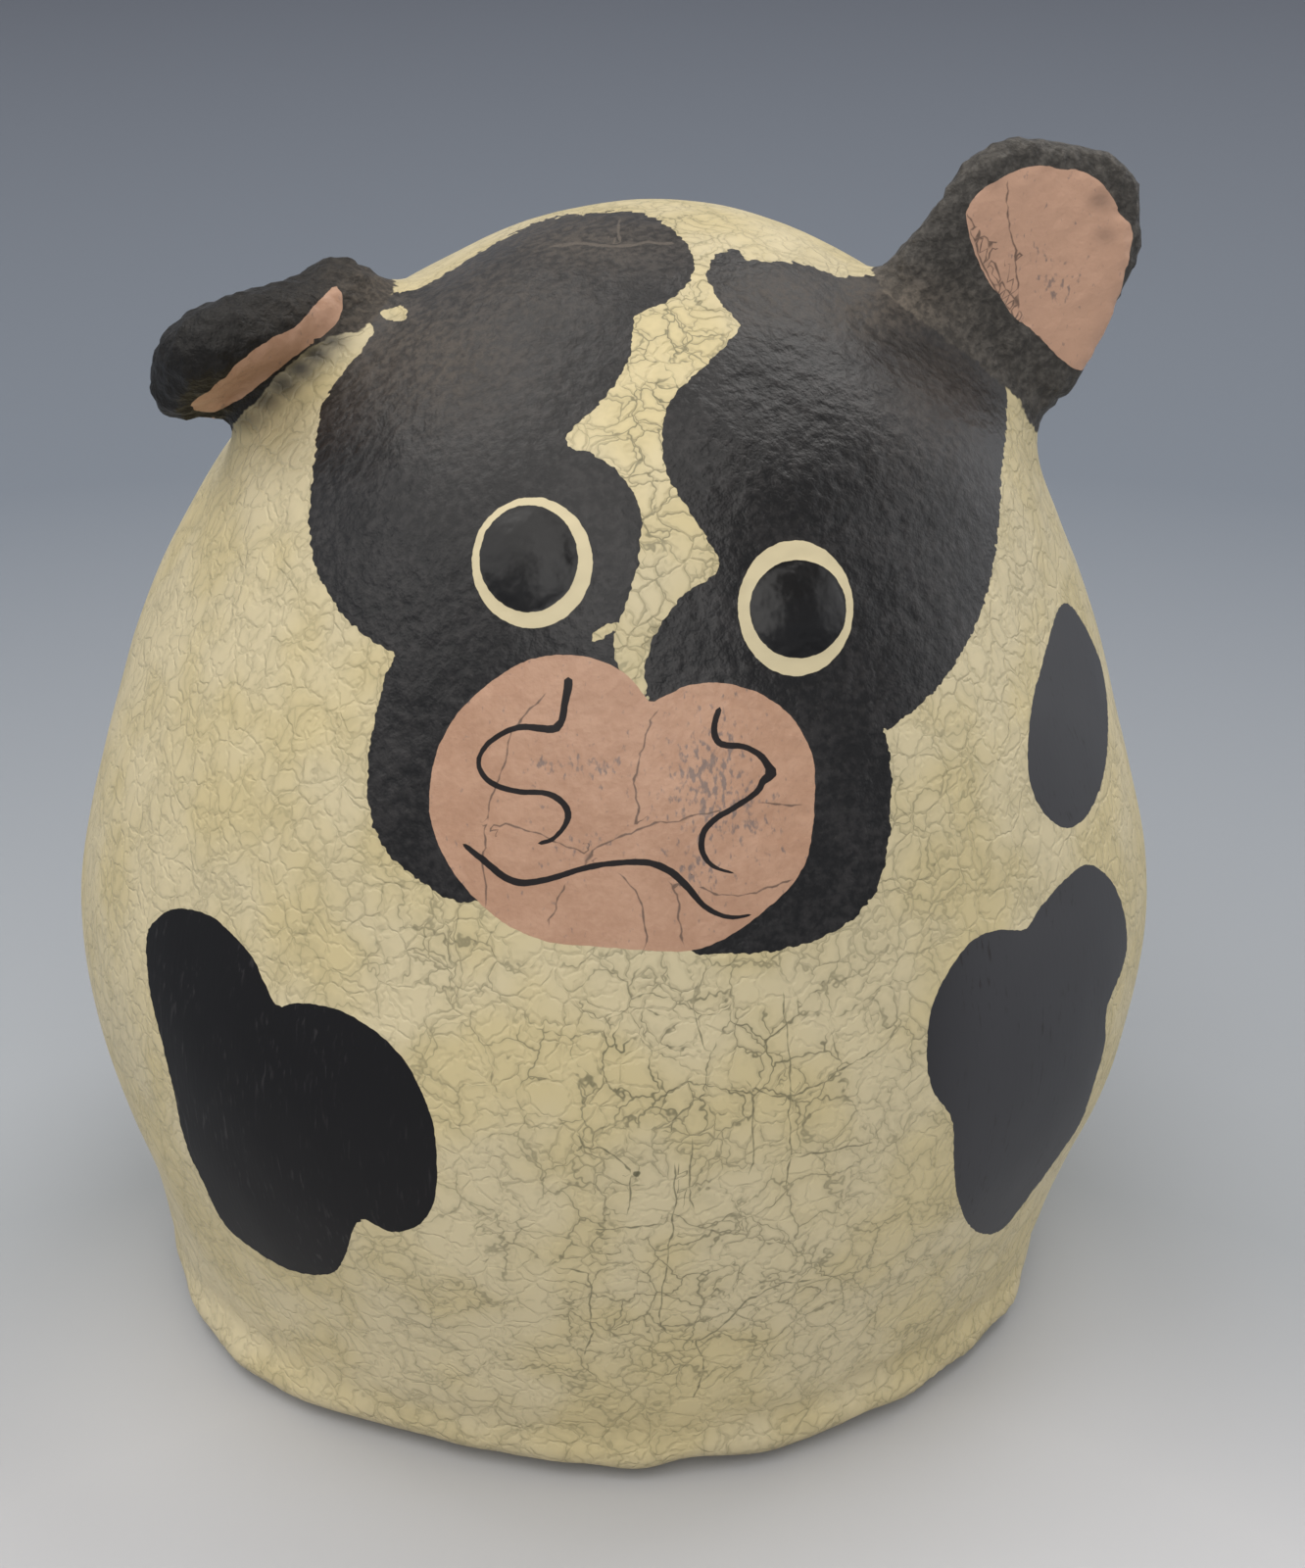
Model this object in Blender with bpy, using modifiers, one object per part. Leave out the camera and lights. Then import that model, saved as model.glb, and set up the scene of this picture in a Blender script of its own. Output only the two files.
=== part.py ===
# Cow figurine: an egg-shaped head and body with two thick ears, moulded by hand as one
# piece. Metres, +Z up. The face looks along -Y, and the animal's own left is +X. It
# stands on z = 0, with the origin at the middle of its foot.

import math

import bmesh
import bpy
from mathutils import Vector

# Body
BODY_HEIGHT = 0.1236        # floor to crown
BODY_WIDTH = 0.1200         # across the belly
CROWN_LEAN = 0.0053         # how far the crown is pulled towards +X
CROWN_LEAN_POWER = 4.5      # how late in its height the body starts to lean
FOOT_LEAN = -0.0015         # how far the foot is pushed the other way
FOOT_LEAN_POWER = 6.0

# Turned outline: share of the body's height, share of half its width
BODY_OUTLINE = (
    (0.00, 0.822),
    (0.03, 0.842),
    (0.08, 0.866),
    (0.15, 0.905),
    (0.25, 0.972),
    (0.38, 1.000),
    (0.50, 0.955),
    (0.62, 0.883),
    (0.74, 0.774),
    (0.84, 0.657),
    (0.92, 0.461),
    (0.97, 0.280),
    (1.00, 0.000),
)
OUTLINE_STEPS = 60
TURN_STEPS = 96

# Foot: a rim rolled out and pressed flat by hand, so that its edge wanders. The body is
# made deeper than the floor by the rim's height, and then cut off flat
RIM_HEIGHT = 0.0070         # how high the wandering of the edge reaches
RIM_WAVE_DEPTH = 0.0005
RIM_WAVES = ((1.0, 5, 0.7), (0.7, 9, 2.1), (0.6, 14, 4.0))    # share, turns around, offset
RIM_PULL = 0.0016           # the edge pulled out at the front, towards -X
RIM_PULL_AZIMUTH = math.radians(-50.0)
RIM_PULL_SPREAD = math.radians(17.0)

# Unevenness of hand-laid walls: share of the depth, turns around the body, up it, offset
WALL_WAVE_DEPTH = 0.00035
WALL_WAVES = ((1.0, 3, 1.6, 0.4), (0.63, 5, -2.4, 2.0), (0.43, 8, 3.7, 5.1))
CALM_CROWN = 0.5            # share of half the width within which the waves die away

# Ears: thick paddles, hollowed on the inner side. Each grows out of a place on the head's
# wall, given as a share of the body's height and an azimuth (0 is the face, +90 is +X).
# Its line runs from inside the head to its tip, bent by shares of its length.
EAR_HOLLOW = 0.24           # depth of the hollow, as a share of the thickness
EAR_SQUARENESS = 2.7        # 2 is an oval section, more is squarer
ROOT_ROUNDING = 0.7         # how soon an ear closes at its root end, smaller is blunter
EAR_RINGS = 24
EAR_SIDES = 36

# Raised ear, at +X: broad at the root, standing up and out
RAISED_HEIGHT_SHARE = 0.892
RAISED_AZIMUTH = math.radians(86.5)
RAISED_SINK = 0.0083        # how deep the root goes into the head
RAISED_LENGTH = 0.0237
RAISED_WAY = Vector((0.498, 0.123, 0.858))
RAISED_BEND = Vector((0.22, -0.06, -0.02))
RAISED_FACING = Vector((0.35, -0.93, 0.10))
RAISED_ROOT_WIDTH = 0.0325
RAISED_WIDTH = 0.0256
RAISED_ROOT_THICKNESS = 0.0085
RAISED_THICKNESS = 0.0072
RAISED_FULL_AT = 0.55       # share of the line where the ear has its full size
RAISED_TIP_ROUNDING = 0.50  # how soon it closes at the tip

# Drooping ear, at -X: a blade that hangs out and forwards from a knuckle on the head
DROOPING_HEIGHT_SHARE = 0.895
DROOPING_AZIMUTH = math.radians(-86.0)
DROOPING_SINK = 0.0059
DROOPING_LENGTH = 0.0203
DROOPING_WAY = Vector((-0.870, -0.478, -0.120))
DROOPING_BEND = Vector((0.18, 0.15, 0.10))
DROOPING_FACING = Vector((0.62, -0.38, -0.69))
DROOPING_ROOT_WIDTH = 0.0100
DROOPING_WIDTH = 0.0214
DROOPING_ROOT_THICKNESS = 0.0070
DROOPING_THICKNESS = 0.0125
DROOPING_FULL_AT = 1.0
DROOPING_TIP_ROUNDING = 0.45
KNUCKLE_WIDTH = 0.0130      # the ball that the drooping ear bends over
KNUCKLE_RISE = 0.0018       # its middle above the ear's place on the head

# Blending of the ears into the head, and the facets
VOXEL = 0.0012              # grid of the skin that joins head and ears
BLEND_DEPTH = 0.0065        # how far from the head's wall the ears are smoothed into it
BLEND_REACH = 0.0230        # how far from an ear's root the smoothing goes
BLEND_PASSES = 10
FACET_BUDGET = 8400         # about how many triangles are kept
MERGE_DISTANCE = 0.00001

CREAM = (0.560, 0.485, 0.262, 1.0)
CREAM_ROUGHNESS = 0.55


def clear_scene():
    for item in list(bpy.data.objects):
        bpy.data.objects.remove(item)


def new_collection(name):
    collection = bpy.data.collections.new(name)
    bpy.context.scene.collection.children.link(collection)
    return collection


def add_object(name, mesh, collection):
    item = bpy.data.objects.new(name, mesh)
    collection.objects.link(item)
    return item


def evaluated_mesh(item):
    bpy.context.view_layer.update()
    graph = bpy.context.evaluated_depsgraph_get()
    return bpy.data.meshes.new_from_object(item.evaluated_get(graph))


def smooth_through(points, x):
    # A cubic through the points, with each slope taken from the point's neighbours
    last = len(points) - 1
    x = min(max(x, points[0][0]), points[last][0])
    left = max(i for i in range(last) if points[i][0] <= x)

    def slope(i):
        low = max(i - 1, 0)
        high = min(i + 1, last)
        return (points[high][1] - points[low][1]) / (points[high][0] - points[low][0])

    (x0, y0), (x1, y1) = points[left], points[left + 1]
    span = x1 - x0
    t = (x - x0) / span
    start = y0 * (1 + 2 * t) * (1 - t) ** 2 + span * slope(left) * t * (1 - t) ** 2
    end = y1 * t * t * (3 - 2 * t) + span * slope(left + 1) * t * t * (t - 1)
    return start + end


def body_radius(height):
    # The squares of the half widths are joined smoothly, which rounds the crown
    squares = [(share, width * width) for share, width in BODY_OUTLINE]
    square = smooth_through(squares, height / BODY_HEIGHT)
    return BODY_WIDTH / 2 * math.sqrt(max(square, 0.0))


def lean(height):
    share = min(max(height / BODY_HEIGHT, 0.0), 1.0)
    crown = CROWN_LEAN * share ** CROWN_LEAN_POWER
    return crown + FOOT_LEAN * (1 - share) ** FOOT_LEAN_POWER


def wall_offset(azimuth, height):
    share = height / BODY_HEIGHT
    offset = 0.0
    for part, around, upward, start in WALL_WAVES:
        offset += part * math.sin(around * azimuth + 2 * math.pi * upward * share + start)
    return WALL_WAVE_DEPTH * offset


def rim_offset(azimuth, height):
    near_floor = max(0.0, 1.0 - height / RIM_HEIGHT) if height > 0 else 1.0
    waves = sum(part * math.sin(turns * azimuth + start) for part, turns, start in RIM_WAVES)
    offset = RIM_WAVE_DEPTH * waves
    away = (azimuth - RIM_PULL_AZIMUTH) / RIM_PULL_SPREAD
    offset += RIM_PULL * math.exp(-away * away)
    return offset * math.sin(near_floor * math.pi / 2)


def turn_profile(collection):
    # From the crown down the outer side, then under the floor line to the axis
    points = []
    for step in range(OUTLINE_STEPS + 1):
        share = (1 + math.cos(math.pi * step / OUTLINE_STEPS)) / 2
        points.append((body_radius(share * BODY_HEIGHT), 0.0, share * BODY_HEIGHT))
    points.append((points[-1][0], 0.0, -RIM_HEIGHT))
    points.append((0.0, 0.0, -RIM_HEIGHT))
    points[0] = (0.0, 0.0, BODY_HEIGHT)
    mesh = bpy.data.meshes.new("turned_body")
    mesh.from_pydata(points, [(i, i + 1) for i in range(len(points) - 1)], [])
    profile = add_object("turned_body", mesh, collection)
    screw = profile.modifiers.new("turn", "SCREW")
    screw.steps = TURN_STEPS
    screw.render_steps = TURN_STEPS
    screw.use_merge_vertices = True
    screw.merge_threshold = MERGE_DISTANCE
    return profile


def shape_body(mesh):
    for vertex in mesh.vertices:
        x, y, z = vertex.co
        radius = math.hypot(x, y)
        if radius > 0:
            azimuth = math.atan2(x, -y)
            fade = min(1.0, radius / (CALM_CROWN * BODY_WIDTH / 2))
            grown = radius + fade * (wall_offset(azimuth, z) + rim_offset(azimuth, z))
            x, y = x * grown / radius, y * grown / radius
        vertex.co = (x + lean(z), y, z)


def smooth_step(value):
    value = min(max(value, 0.0), 1.0)
    return value * value * (3 - 2 * value)


def rounded(value, squareness):
    return math.copysign(abs(value) ** (2 / squareness), value)


def wall_point(height_share, azimuth):
    height = height_share * BODY_HEIGHT
    radius = body_radius(height)
    return Vector((lean(height) + radius * math.sin(azimuth), -radius * math.cos(azimuth), height))


def ear_line(anchor, way, sink, length, bend):
    way = way.normalized()
    root = anchor - way * sink
    tip = anchor + way * length
    middle = root.lerp(tip, 0.5) + bend * length
    return root, middle, tip


def make_ear(name, line, facing, widths, thicknesses, full_at, tip_rounding, collection):
    # A ball whose poles are the root and the tip, drawn out into a hollowed paddle
    root, middle, tip = line
    mesh = bpy.data.meshes.new(name)
    form = bmesh.new()
    bmesh.ops.create_uvsphere(form, u_segments=EAR_SIDES, v_segments=EAR_RINGS, radius=1.0)
    for vertex in form.verts:
        along = (vertex.co.z + 1) / 2
        ring = math.hypot(vertex.co.x, vertex.co.y)
        side = vertex.co.xy.normalized()
        across = rounded(side.x, EAR_SQUARENESS)
        depth = rounded(side.y, EAR_SQUARENESS)
        grown = smooth_step(along / full_at)
        half_width = (widths[0] + (widths[1] - widths[0]) * grown) / 2
        half_depth = (thicknesses[0] + (thicknesses[1] - thicknesses[0]) * grown) / 2
        closing = ring ** (tip_rounding if along > 0.5 else ROOT_ROUNDING)
        start = root.lerp(middle, along)
        end = middle.lerp(tip, along)
        centre = start.lerp(end, along)
        line_way = (end - start).normalized()
        inward = (facing - line_way * facing.dot(line_way)).normalized()
        sideways = line_way.cross(inward)
        thick = depth * half_depth * closing
        if depth > 0:
            hollow = 2 * EAR_HOLLOW * half_depth * (1 - across * across) * grown * ring
            thick -= hollow * depth
        vertex.co = centre + sideways * (across * half_width * closing) + inward * thick
    bmesh.ops.recalc_face_normals(form, faces=form.faces)
    form.to_mesh(mesh)
    form.free()
    return add_object(name, mesh, collection)


def make_knuckle(anchor, collection):
    mesh = bpy.data.meshes.new("knuckle")
    form = bmesh.new()
    bmesh.ops.create_uvsphere(form, u_segments=EAR_SIDES, v_segments=EAR_RINGS,
                              radius=KNUCKLE_WIDTH / 2)
    bmesh.ops.translate(form, verts=form.verts, vec=anchor + Vector((0, 0, KNUCKLE_RISE)))
    form.to_mesh(mesh)
    form.free()
    return add_object("knuckle", mesh, collection)


def joined(body, forms):
    for form in forms:
        union = body.modifiers.new("join_" + form.name, "BOOLEAN")
        union.operation = "UNION"
        union.solver = "EXACT"
        union.object = form
    remesh = body.modifiers.new("one_skin", "REMESH")
    remesh.mode = "VOXEL"
    remesh.voxel_size = VOXEL
    mesh = evaluated_mesh(body)
    body.modifiers.clear()
    return mesh


def blend_ears(mesh, roots):
    # Only the wall close to the roots is relaxed, which leaves a soft fillet there
    form = bmesh.new()
    form.from_mesh(mesh)
    near = []
    for vertex in form.verts:
        x, y, z = vertex.co
        depth = math.hypot(x - lean(z), y) - body_radius(z)
        reach = min((vertex.co - root).length for root in roots)
        if abs(depth) < BLEND_DEPTH and reach < BLEND_REACH:
            near.append(vertex)
    for _ in range(BLEND_PASSES):
        bmesh.ops.smooth_vert(form, verts=near, factor=0.5, use_axis_x=True,
                              use_axis_y=True, use_axis_z=True)
    form.to_mesh(mesh)
    form.free()


def floor_block(collection):
    mesh = bpy.data.meshes.new("floor_block")
    form = bmesh.new()
    bmesh.ops.create_cube(form, size=1.0)
    for vertex in form.verts:
        vertex.co.x *= 2 * BODY_WIDTH
        vertex.co.y *= 2 * BODY_WIDTH
        vertex.co.z = (vertex.co.z - 0.5) * 2 * RIM_HEIGHT
    form.to_mesh(mesh)
    form.free()
    return add_object("floor_block", mesh, collection)


def painted_cream():
    material = bpy.data.materials.new("crackled_cream")
    material.use_nodes = True
    shader = material.node_tree.nodes["Principled BSDF"]
    shader.inputs["Base Color"].default_value = CREAM
    shader.inputs["Roughness"].default_value = CREAM_ROUGHNESS
    shader.inputs["Metallic"].default_value = 0.0
    return material


def build():
    clear_scene()
    figurine_parts = new_collection("cow_figurine")
    guides = new_collection("cow_figurine_cutters")

    raised_anchor = wall_point(RAISED_HEIGHT_SHARE, RAISED_AZIMUTH)
    raised_line = ear_line(raised_anchor, RAISED_WAY, RAISED_SINK, RAISED_LENGTH, RAISED_BEND)
    raised = make_ear("raised_ear", raised_line, RAISED_FACING,
                      (RAISED_ROOT_WIDTH, RAISED_WIDTH),
                      (RAISED_ROOT_THICKNESS, RAISED_THICKNESS),
                      RAISED_FULL_AT, RAISED_TIP_ROUNDING, guides)
    drooping_anchor = wall_point(DROOPING_HEIGHT_SHARE, DROOPING_AZIMUTH)
    drooping_line = ear_line(drooping_anchor, DROOPING_WAY, DROOPING_SINK, DROOPING_LENGTH,
                             DROOPING_BEND)
    drooping = make_ear("drooping_ear", drooping_line, DROOPING_FACING,
                        (DROOPING_ROOT_WIDTH, DROOPING_WIDTH),
                        (DROOPING_ROOT_THICKNESS, DROOPING_THICKNESS),
                        DROOPING_FULL_AT, DROOPING_TIP_ROUNDING, guides)
    knuckle = make_knuckle(drooping_anchor, guides)

    body = turn_profile(guides)
    turned = evaluated_mesh(body)
    body.modifiers.clear()
    body.data = turned
    shape_body(turned)

    skin = joined(body, (raised, knuckle, drooping))
    blend_ears(skin, (raised_anchor, drooping_anchor))

    figurine = add_object("cow_figurine", skin, figurine_parts)
    facets = figurine.modifiers.new("facets", "DECIMATE")
    facets.ratio = min(1.0, FACET_BUDGET / (2 * len(skin.polygons)))
    flat = figurine.modifiers.new("flat_foot", "BOOLEAN")
    flat.operation = "DIFFERENCE"
    flat.solver = "EXACT"
    flat.object = floor_block(guides)
    skin.materials.clear()
    skin.materials.append(painted_cream())
    skin.shade_smooth()

    for guide in guides.objects:
        guide.hide_render = True
        guide.display_type = "WIRE"


build()
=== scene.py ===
import math

import bmesh
import bpy
import numpy as np
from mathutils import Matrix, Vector, noise


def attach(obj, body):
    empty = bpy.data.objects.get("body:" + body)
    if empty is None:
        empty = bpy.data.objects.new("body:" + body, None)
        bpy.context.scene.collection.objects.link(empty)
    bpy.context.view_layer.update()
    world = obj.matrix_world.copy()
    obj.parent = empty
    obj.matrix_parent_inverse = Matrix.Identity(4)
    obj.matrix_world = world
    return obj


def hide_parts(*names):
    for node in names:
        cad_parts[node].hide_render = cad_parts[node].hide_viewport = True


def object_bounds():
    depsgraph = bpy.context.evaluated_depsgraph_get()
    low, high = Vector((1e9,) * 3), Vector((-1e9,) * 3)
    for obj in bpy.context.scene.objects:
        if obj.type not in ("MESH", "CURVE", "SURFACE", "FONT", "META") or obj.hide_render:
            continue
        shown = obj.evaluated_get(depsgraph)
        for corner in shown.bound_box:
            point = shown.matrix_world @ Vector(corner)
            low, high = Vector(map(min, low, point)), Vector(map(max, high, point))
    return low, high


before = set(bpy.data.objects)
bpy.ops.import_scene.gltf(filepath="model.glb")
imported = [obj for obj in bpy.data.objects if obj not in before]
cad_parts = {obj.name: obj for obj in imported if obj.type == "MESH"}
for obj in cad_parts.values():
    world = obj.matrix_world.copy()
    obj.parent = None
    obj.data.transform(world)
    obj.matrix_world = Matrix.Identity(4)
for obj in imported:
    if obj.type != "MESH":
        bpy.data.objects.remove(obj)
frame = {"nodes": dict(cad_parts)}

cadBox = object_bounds()
print("frame loaded:", ", ".join(frame["nodes"]))

millimetre = 0.001
unseen = -12.0                  # mm, stored for points that a painted area doesn't reach

# Camera, where the picture was taken from. Every outline below is in pixels of its picture.
cameraSet = {
    "place": (0.00432, -0.33397, 0.21049),
    "tiltDown": 24.58,          # degrees below the horizon
    "lens": 75.0,
    "sensor": 36.0,             # along the long side
    "picture": (1332, 1600),
}


def makeCamera(s):
    data = bpy.data.cameras.new("camera")
    data.lens = s["lens"]
    data.sensor_width = s["sensor"]
    camera = bpy.data.objects.new("camera", data)
    bpy.context.scene.collection.objects.link(camera)
    camera.location = s["place"]
    camera.rotation_euler = (math.radians(90 - s["tiltDown"]), 0, 0)
    bpy.context.scene.camera = camera
    return camera


def toPicture(points, s):
    # Pixels of the points in the picture, and how many millimetres a pixel covers there
    tilt = math.radians(s["tiltDown"])
    forward = np.array((0, math.cos(tilt), -math.sin(tilt)))
    up = np.array((0, math.sin(tilt), math.cos(tilt)))
    away = points - np.array(s["place"])
    depth = away @ forward
    focal = s["lens"] / s["sensor"] * max(s["picture"])
    across = s["picture"][0] / 2 + focal * away[:, 0] / depth
    down = s["picture"][1] / 2 - focal * (away @ up) / depth
    return np.stack((across, down), 1), depth / focal / millimetre


makeCamera(cameraSet)
print("camera placed")

# Body mesh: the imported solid, laid over with a fine even skin and smoothed
skinSet = {
    "voxel": 0.00115,           # m, width of the mesh's faces
    "footLevel": 0.0003,        # m, what is below lies flat on the floor
    "bodyPasses": 40,           # smoothing passes, which take the facets out
    "earPasses": 6,
    "lumps": ((0.20, 15.0), (0.09, 6.0)),       # depth and width in mm
    "faceLumps": ((0.06, 3.0), (0.10, 1.1)),
    "earLumps": ((0.32, 5.5), (0.34, 2.4), (0.34, 1.25)),
    "eyeBulge": 0.80,           # mm
    "finePicture": (            # these areas get a mesh twice as fine
        (300, 200, 1180, 990), (540, 990, 910, 1440), (120, 230, 430, 460), (930, 100, 1200, 430)),
}

# Foot: a rolled rim with a groove above it, in mm, stronger at some azimuths
footSet = {
    "rim": (0.95, 2.8, 1.7),    # depth, height, half height
    "groove": (-0.38, 6.8, 2.2),
    "undercut": (3.0, 3.2),     # how far in the edge rolls, and from which height
    "everywhere": 0.50,
    "uneven": (0.9, 8.0),       # share and width of its waves
    "fade": 2.0,                # below this height all relief fades, so that the foot stays flat
    "stronger": ((42.0, 30.0, 0.9), (-47.0, 14.0, 1.1), (4.0, 9.0, 0.7)),  # azimuth, spread, share
}

# The ears' middle lines (root, bend, tip) and inner sides, in mm, as in the solid
earSet = {
    "raised": {
        "line": ((31.4, -3.0, 103.1), (44.6, -2.5, 116.4), (47.4, 0.9, 130.6)),
        "facing": (0.35, -0.93, 0.10),
        "halfWidth": (16.2, 12.8),
    },
    "drooping": {
        "line": ((-23.5, 0.6, 111.3), (-31.3, -2.6, 111.8), (-46.3, -11.9, 108.2)),
        "facing": (0.62, -0.38, -0.69),
        "halfWidth": (5.0, 10.7),
        "unseenPink": (0.70, 0.30, 0.86),   # half width, start and end, in shares of the ear
        "pinkSize": (9.0, 28.0),            # mm that such a share stands for, across and along
    },
}

# The head's wall under the ears: share of the height, share of the half width
wallSet = {
    "height": 123.6,
    "halfWidth": 60.0,
    "outline": ((0.62, 0.883), (0.74, 0.774), (0.84, 0.657), (0.92, 0.461), (0.97, 0.280), (1.0, 0.0)),
    "lean": (5.3, 4.5),         # mm at the crown, and how late it starts
    "earStarts": 1.3,           # mm above the wall
    "earFull": 3.0,             # mm above the wall, where a point is wholly ear for the smoothing
    "earsAbove": 80.0,          # mm, no ear is lower
    "earReach": 32.0,           # mm from an ear's middle line, and nothing further out is ear
    "noEar": -2.0,              # mm, stored there
}


def readPoints(mesh):
    points = np.empty(len(mesh.vertices) * 3, np.float32)
    mesh.vertices.foreach_get("co", points)
    return points.reshape(-1, 3).astype(float)


def writePoints(mesh, points):
    mesh.vertices.foreach_set("co", points.astype(np.float32).ravel())
    mesh.update()


def readNormals(mesh):
    normals = np.empty(len(mesh.vertices) * 3, np.float32)
    mesh.vertex_normals.foreach_get("vector", normals)
    return normals.reshape(-1, 3).astype(float)


def fineSkin(cadNode, s):
    piece = bpy.data.objects.new("skin", cadNode.data.copy())
    bpy.context.scene.collection.objects.link(piece)
    weld = piece.modifiers.new("weld", "WELD")
    weld.merge_threshold = 0.00001
    remesh = piece.modifiers.new("skin", "REMESH")
    remesh.mode = "VOXEL"
    remesh.voxel_size = s["voxel"]
    bpy.context.view_layer.update()
    graph = bpy.context.evaluated_depsgraph_get()
    mesh = bpy.data.meshes.new_from_object(piece.evaluated_get(graph))
    bpy.data.objects.remove(piece)
    return mesh


def smoothSkin(mesh, passes, strength):
    # Each point moves towards the mean of its neighbours, as far as its strength says
    points = readPoints(mesh)
    edges = np.empty(len(mesh.edges) * 2, np.int32)
    mesh.edges.foreach_get("vertices", edges)
    ends = edges.reshape(-1, 2)
    here = np.concatenate((ends[:, 0], ends[:, 1]))
    there = np.concatenate((ends[:, 1], ends[:, 0]))
    count = np.bincount(here, minlength=len(points))[:, None]
    for turn in range(passes):
        total = np.stack([np.bincount(here, points[there, k], len(points)) for k in range(3)], 1)
        share = strength(turn)[:, None]
        points += share * (total / count - points)
    writePoints(mesh, points)


def wallRise(points, s):
    # How far each point (mm) stands above the head's own wall
    share, width = np.array(s["outline"]).T
    heights = np.linspace(share[0], 1, 120)
    radii = s["halfWidth"] * np.sqrt(np.interp(heights, share, width ** 2))
    slope = np.gradient(radii, heights * s["height"])
    level = np.clip(points[:, 2] / s["height"], share[0], 1)
    lean = s["lean"][0] * level ** s["lean"][1]
    out = np.hypot(points[:, 0] - lean, points[:, 1]) - np.interp(level, heights, radii)
    rise = out / np.hypot(1, np.interp(level, heights, slope))
    return np.where(points[:, 2] < s["height"], rise, points[:, 2] - s["height"] + 2)


def earPlaces(points, ear):
    # Along, across and inward places on one ear, in shares, shares and mm
    root, bend, tip = (np.array(p) for p in ear["line"])
    best = np.full(len(points), 1e9)
    along = np.zeros(len(points))
    across = np.zeros(len(points))
    inward = np.zeros(len(points))
    for t in np.linspace(0, 1, 60):
        start = root + (bend - root) * t
        end = bend + (tip - bend) * t
        way = (end - start) / np.linalg.norm(end - start)
        inner = np.array(ear["facing"]) - way * np.dot(ear["facing"], way)
        inner /= np.linalg.norm(inner)
        off = points - (start + (end - start) * t)
        far = np.einsum("ij,ij->i", off, off)
        grown = t * t * (3 - 2 * t)
        halfWidth = ear["halfWidth"][0] + (ear["halfWidth"][1] - ear["halfWidth"][0]) * grown
        nearer = far < best
        best = np.where(nearer, far, best)
        along = np.where(nearer, t, along)
        across = np.where(nearer, off @ np.cross(way, inner) / halfWidth, across)
        inward = np.where(nearer, off @ inner, inward)
    return along, across, inward, np.sqrt(best)


def refineFace(mesh, s):
    # A mesh twice as fine on the face, the ears and below the chin
    points = readPoints(mesh)
    pixels, _ = toPicture(points, cameraSet)
    towards = np.array(cameraSet["place"]) - points
    inside = np.zeros(len(points), bool)
    for left, top, right, bottom in s["finePicture"]:
        across = (pixels[:, 0] > left) & (pixels[:, 0] < right)
        inside |= across & (pixels[:, 1] > top) & (pixels[:, 1] < bottom)
    inside &= np.einsum("ij,ij->i", readNormals(mesh), towards) > 0
    form = bmesh.new()
    form.from_mesh(mesh)
    form.verts.ensure_lookup_table()
    chosen = [e for e in form.edges if all(inside[v.index] for v in e.verts)]
    bmesh.ops.subdivide_edges(form, edges=chosen, cuts=1, use_grid_fill=True)
    form.to_mesh(mesh)
    form.free()


def flattenFoot(mesh):
    # One face under the foot in place of thousands of small flat ones
    form = bmesh.new()
    form.from_mesh(mesh)
    for vertex in form.verts:
        if vertex.co.z < skinSet["footLevel"]:
            vertex.co.z = 0.0
    under = [f for f in form.faces if all(v.co.z == 0.0 for v in f.verts)]
    bmesh.ops.dissolve_faces(form, faces=under, use_verts=True)
    form.to_mesh(mesh)
    form.free()


def lumpy(points, layers, offset):
    # Uneven hand-laid paper: depth in mm for each point in mm
    total = np.zeros(len(points))
    for depth, width in layers:
        shift = Vector((offset, offset * 2, -offset))
        total += [depth * noise.noise(Vector(p) / width + shift) for p in points]
    return total


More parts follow.
